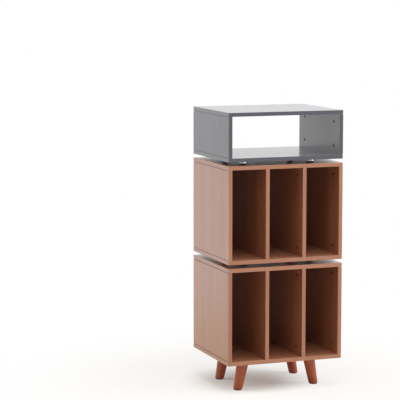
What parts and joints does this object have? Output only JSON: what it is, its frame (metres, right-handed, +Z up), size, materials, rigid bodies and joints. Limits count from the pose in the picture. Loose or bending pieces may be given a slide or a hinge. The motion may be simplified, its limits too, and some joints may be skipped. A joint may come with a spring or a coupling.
{
  "type": "hi-fi rack",
  "caption": "Narrow stacking hi-fi rack on splayed round wooden legs: wood-grain units with upright sleeve bays, and an open grey shelf unit above for a component.",
  "frame": {"origin": "on the floor, under the middle of the rack", "axes": "+Z up, -Y out of the open front, +X to the right seen from the front"},
  "size_m": [0.47, 0.39, 1.083],
  "materials": {
    "brown_board": "satin warm brown wood-grain foil on particle board",
    "brown_edge": "satin warm brown wood-grain edge band",
    "grey_board": "satin slate grey melamine on particle board",
    "grey_edge": "satin slate grey edge band",
    "leg_wood": "lacquered red-brown solid wood",
    "beech_dowel": "bare beech",
    "zinc_fitting": "dark, dull die-cast zinc",
    "steel_screw": "bright zinc-plated steel",
    "plate_steel": "zinc-plated pressed steel",
    "polished_metal": "polished nickel plating",
    "rubber_pad": "matt black rubber",
    "glide_nylon": "dark nylon"
  },
  "bodies": {
    "lower_unit": {"leg_back_left": "leg_wood", "leg_back_right": "leg_wood", "leg_front_left": "leg_wood", "leg_front_right": "leg_wood", "leg_glides": "glide_nylon", "leg_hanger_bolts": "steel_screw", "leg_plate_back_left": "plate_steel", "leg_plate_back_right": "plate_steel", "leg_plate_front_left": "plate_steel", "leg_plate_front_right": "plate_steel", "leg_plate_screws": "steel_screw", "lower_back_panel": "brown_board", "lower_bottom_panel": "brown_board", "lower_cam_bolts": "zinc_fitting", "lower_cam_discs": "zinc_fitting", "lower_dowels": "beech_dowel", "lower_left_divider": "brown_board", "lower_left_side": "brown_board", "lower_rail_bands": "brown_edge", "lower_right_divider": "brown_board", "lower_right_side": "brown_board", "lower_stile_bands": "brown_edge", "lower_top_panel": "brown_board"},
    "upper_unit": {"upper_back_panel": "brown_board", "upper_bottom_panel": "brown_board", "upper_cam_bolts": "zinc_fitting", "upper_cam_discs": "zinc_fitting", "upper_dowels": "beech_dowel", "upper_left_divider": "brown_board", "upper_left_side": "brown_board", "upper_rail_bands": "brown_edge", "upper_right_divider": "brown_board", "upper_right_side": "brown_board", "upper_spacer_back_left": "polished_metal", "upper_spacer_back_right": "polished_metal", "upper_spacer_front_left": "polished_metal", "upper_spacer_front_right": "polished_metal", "upper_spacer_pads": "rubber_pad", "upper_spacer_screws": "steel_screw", "upper_stile_bands": "brown_edge", "upper_top_panel": "brown_board"},
    "shelf_unit": {"shelf_bottom_panel": "grey_board", "shelf_cam_bolts": "zinc_fitting", "shelf_cam_discs": "zinc_fitting", "shelf_dowels": "beech_dowel", "shelf_left_side": "grey_board", "shelf_rail_bands": "grey_edge", "shelf_right_side": "grey_board", "shelf_spacer_back_left": "polished_metal", "shelf_spacer_back_right": "polished_metal", "shelf_spacer_front_left": "polished_metal", "shelf_spacer_front_right": "polished_metal", "shelf_spacer_pads": "rubber_pad", "shelf_spacer_screws": "steel_screw", "shelf_stile_bands": "grey_edge", "shelf_top_panel": "grey_board"}
  },
  "joints": [
    {"name": "upper_unit_lift", "type": "slide", "parent": "lower_unit", "child": "upper_unit", "axis": [0, 0, 1], "range_m": [0, 0.15]},
    {"name": "shelf_unit_lift", "type": "slide", "parent": "upper_unit", "child": "shelf_unit", "axis": [0, 0, 1], "range_m": [0, 0.15]}
  ]
}
